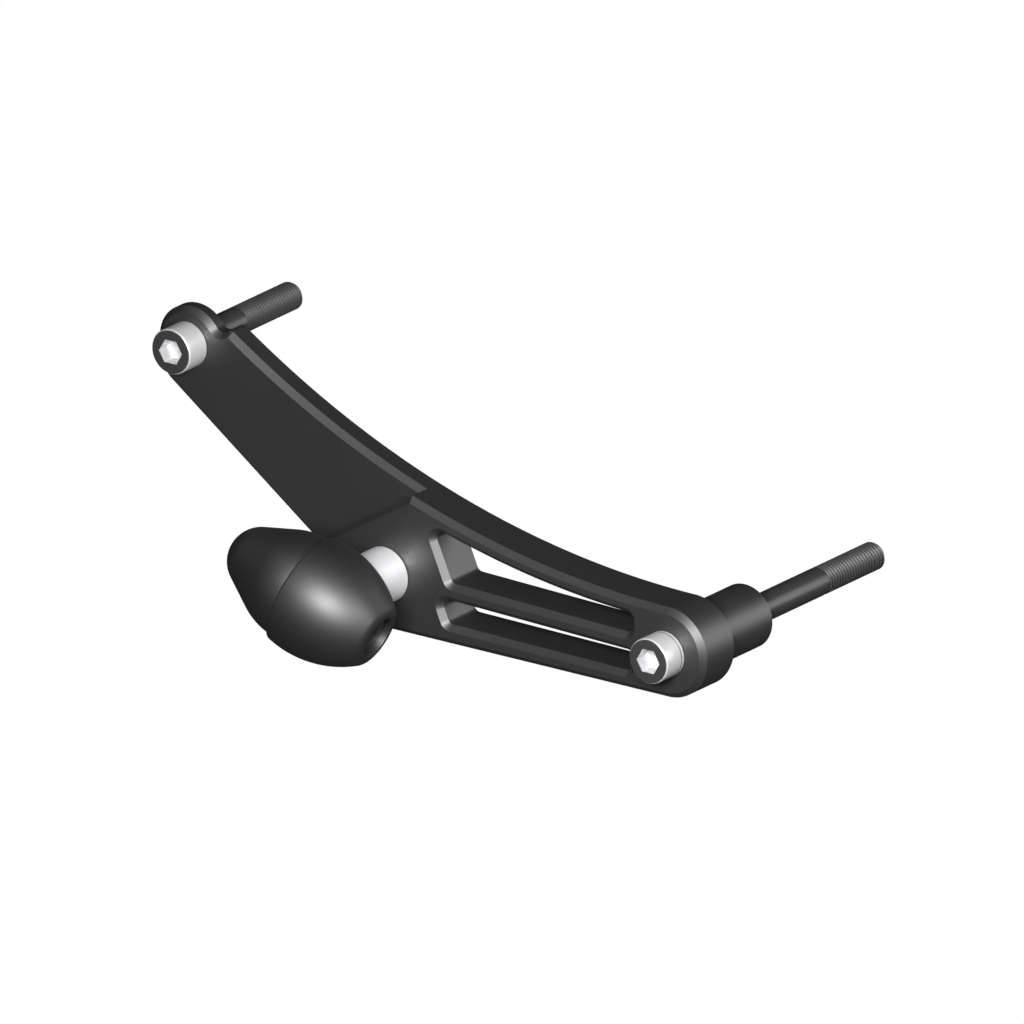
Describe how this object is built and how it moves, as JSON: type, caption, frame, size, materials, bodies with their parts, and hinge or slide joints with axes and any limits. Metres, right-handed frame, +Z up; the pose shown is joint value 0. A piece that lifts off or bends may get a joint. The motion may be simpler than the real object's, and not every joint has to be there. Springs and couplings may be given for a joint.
{
  "type": "motorcycle frame slider",
  "caption": "Motorcycle frame slider: a bullet-shaped plastic crash puck on a metal spacer, carried by a slotted bracket plate with long cap screws and a spacer sleeve.",
  "frame": {"origin": "centre of the upper eye's rear seat, on the upper bolt's axis, where the bracket meets the motorcycle", "axes": "+X along the bracket from the upper bolt to the lower bolt's end, +Y towards the motorcycle along both fixing bolts, +Z up"},
  "size_m": [0.2326, 0.1763, 0.0949],
  "materials": {
    "black_anodised": "satin black anodised",
    "bolt_steel": "bright zinc plated",
    "spacer_aluminium": "turned",
    "slider_plastic": "satin turned acetal",
    "insert_brass": "plain"
  },
  "bodies": {
    "root": {"bracket": "black_anodised", "upper_bolt": "bolt_steel", "lower_bolt": "bolt_steel", "lower_spacer": "black_anodised", "slider_spacer": "spacer_aluminium", "spacer_screw": "bolt_steel", "slider_body": "slider_plastic", "slider_nose": "slider_plastic", "clamp_screw": "bolt_steel", "nose_insert": "insert_brass"}
  },
  "joints": []
}
